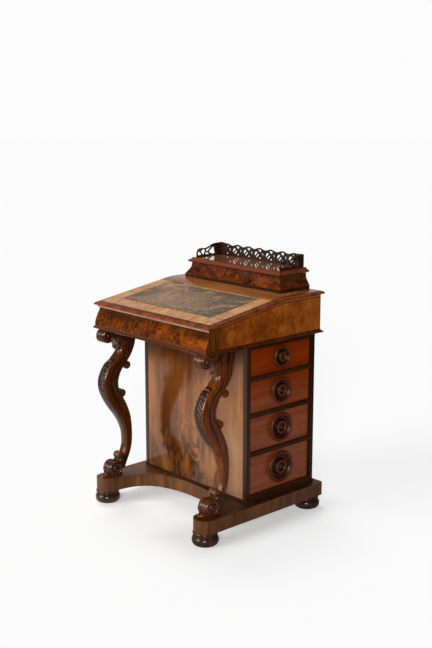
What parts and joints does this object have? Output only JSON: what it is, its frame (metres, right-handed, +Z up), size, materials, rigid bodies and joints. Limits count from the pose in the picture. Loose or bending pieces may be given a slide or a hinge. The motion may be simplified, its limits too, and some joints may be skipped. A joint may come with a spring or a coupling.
{
  "type": "davenport desk",
  "caption": "Davenport desk with sloping leather-lined lid, stationery box with pierced gallery, scroll supports and side drawers.",
  "frame": {"origin": "centre of the footprint, on the floor under the feet", "axes": "+Z up; -Y is the front where the sitter is; +X is the side with the real drawers"},
  "size_m": [0.576, 0.54, 0.842],
  "materials": {
    "case_walnut": "polished",
    "burr_walnut": "polished",
    "panel_walnut": "polished",
    "drawer_mahogany": "polished",
    "dark_frame": "polished",
    "base_walnut": "polished",
    "carved_mahogany": "polished",
    "dark_turning": "satin",
    "knob_wood": "polished",
    "drawer_lining": "bare",
    "desk_leather": "worn",
    "old_brass": "aged"
  },
  "bodies": {
    "frame": {"platform_base": "base_walnut", "foot_front_left": "dark_turning", "foot_front_right": "dark_turning", "foot_rear_left": "dark_turning", "foot_rear_right": "dark_turning", "pedestal_bottom_board": "dark_frame", "pedestal_top_board": "dark_frame", "stile_front_left": "dark_frame", "stile_front_right": "dark_frame", "stile_rear_left": "dark_frame", "stile_rear_right": "dark_frame", "divider_1": "dark_frame", "divider_2": "dark_frame", "divider_3": "dark_frame", "pedestal_front_panel": "panel_walnut", "pedestal_back_panel": "panel_walnut", "false_front_1": "drawer_mahogany", "false_knob_1": "knob_wood", "false_front_2": "drawer_mahogany", "false_knob_2": "knob_wood", "false_front_3": "drawer_mahogany", "false_knob_3": "knob_wood", "false_front_4": "drawer_mahogany", "false_knob_4": "knob_wood", "scroll_support_left": "carved_mahogany", "scroll_support_right": "carved_mahogany", "case_bottom": "case_walnut", "case_side_left": "case_walnut", "case_side_right": "case_walnut", "case_back": "case_walnut", "ledge_board": "case_walnut", "stationery_tray": "case_walnut", "stationery_back": "case_walnut", "case_front": "burr_walnut", "stationery_front": "burr_walnut", "stationery_side_left": "burr_walnut", "stationery_side_right": "burr_walnut", "slope_hinge_fixed": "old_brass", "box_hinge_fixed": "old_brass"},
    "drawer_1": {"drawer_1_front": "drawer_mahogany", "drawer_1_box": "drawer_lining", "drawer_1_knob": "knob_wood"},
    "drawer_2": {"drawer_2_front": "drawer_mahogany", "drawer_2_box": "drawer_lining", "drawer_2_knob": "knob_wood"},
    "drawer_3": {"drawer_3_front": "drawer_mahogany", "drawer_3_box": "drawer_lining", "drawer_3_knob": "knob_wood"},
    "drawer_4": {"drawer_4_front": "drawer_mahogany", "drawer_4_box": "drawer_lining", "drawer_4_knob": "knob_wood"},
    "writing_lid": {"slope_lid": "case_walnut", "lid_leather": "desk_leather", "lid_plate": "old_brass", "slope_hinge_moving": "old_brass"},
    "box_lid": {"stationery_lid": "case_walnut", "gallery_back": "dark_turning", "gallery_left": "dark_turning", "gallery_right": "dark_turning", "box_hinge_moving": "old_brass"}
  },
  "joints": [
    {"name": "writing_lid_hinge", "type": "hinge", "parent": "frame", "child": "writing_lid", "pos_m": [0, 0.03135, 0.72575], "axis": [-1, 0, 0], "range_deg": [0, 100]},
    {"name": "box_lid_hinge", "type": "hinge", "parent": "frame", "child": "box_lid", "pos_m": [0, 0.2469, 0.78345], "axis": [-1, 0, 0], "range_deg": [0, 95]},
    {"name": "drawer_1_slide", "type": "slide", "parent": "frame", "child": "drawer_1", "axis": [1, 0, 0], "range_m": [0, 0.34]},
    {"name": "drawer_2_slide", "type": "slide", "parent": "frame", "child": "drawer_2", "axis": [1, 0, 0], "range_m": [0, 0.34]},
    {"name": "drawer_3_slide", "type": "slide", "parent": "frame", "child": "drawer_3", "axis": [1, 0, 0], "range_m": [0, 0.34]},
    {"name": "drawer_4_slide", "type": "slide", "parent": "frame", "child": "drawer_4", "axis": [1, 0, 0], "range_m": [0, 0.34]}
  ]
}
